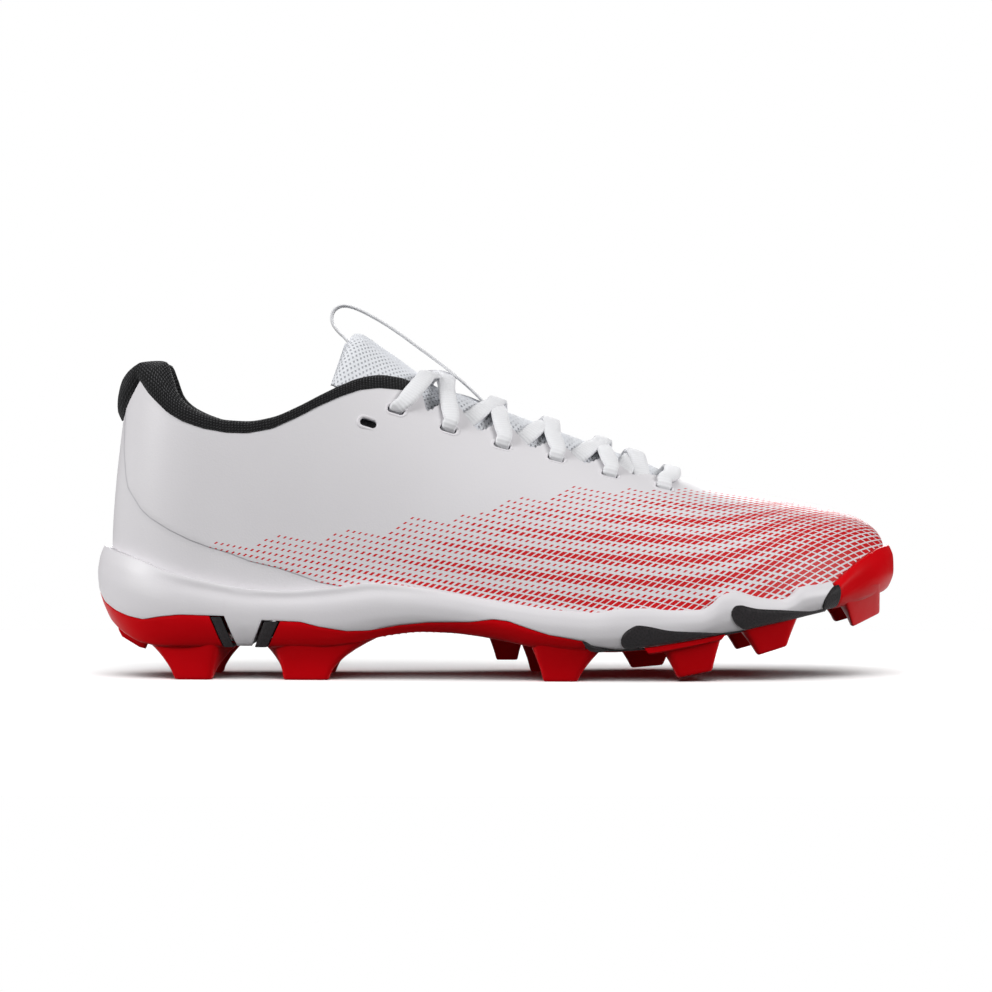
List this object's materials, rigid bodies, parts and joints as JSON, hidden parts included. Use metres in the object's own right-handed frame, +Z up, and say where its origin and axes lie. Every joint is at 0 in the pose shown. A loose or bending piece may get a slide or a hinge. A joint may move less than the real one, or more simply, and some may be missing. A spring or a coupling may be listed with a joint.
{
  "type": "football cleat",
  "caption": "Low right football cleat with a moulded synthetic upper, padded knit collar, mesh tongue with a pull loop, flat lace, foam midsole and a studded rubber outsole with a toe cap.",
  "frame": {"origin": "on the floor, under the middle of the shoe's box", "axes": "+X from heel to toe, +Y to the inner side of the foot, +Z up"},
  "size_m": [0.2984, 0.107, 0.1395],
  "materials": {
    "white_upper": "smooth white synthetic with a red halftone that grows towards the toe",
    "black_knit": "padded black knit",
    "white_mesh": "white air mesh",
    "white_lace": "flat woven tape",
    "white_foam": "moulded satin foam",
    "red_rubber": "moulded satin rubber",
    "dark_plate": "fine moulded grain",
    "grey_foam": "cloth-topped foam"
  },
  "bodies": {
    "root": {"upper": "white_upper", "collar": "black_knit", "tongue": "white_mesh", "pull_loop": "white_lace", "lace_bar": "white_lace", "lace_cross_1": "white_lace", "lace_cross_2": "white_lace", "lace_cross_3": "white_lace", "lace_cross_4": "white_lace", "lace_cross_5": "white_lace", "insole": "grey_foam", "midsole": "white_foam", "outsole_heel": "red_rubber", "outsole_front": "red_rubber", "heel_inlay_rear": "dark_plate", "heel_inlay_front": "dark_plate", "forefoot_plate": "dark_plate", "pod_rear_outer": "dark_plate", "pod_rear_inner": "dark_plate", "pod_front_outer": "dark_plate", "pod_front_inner": "dark_plate"}
  },
  "joints": []
}
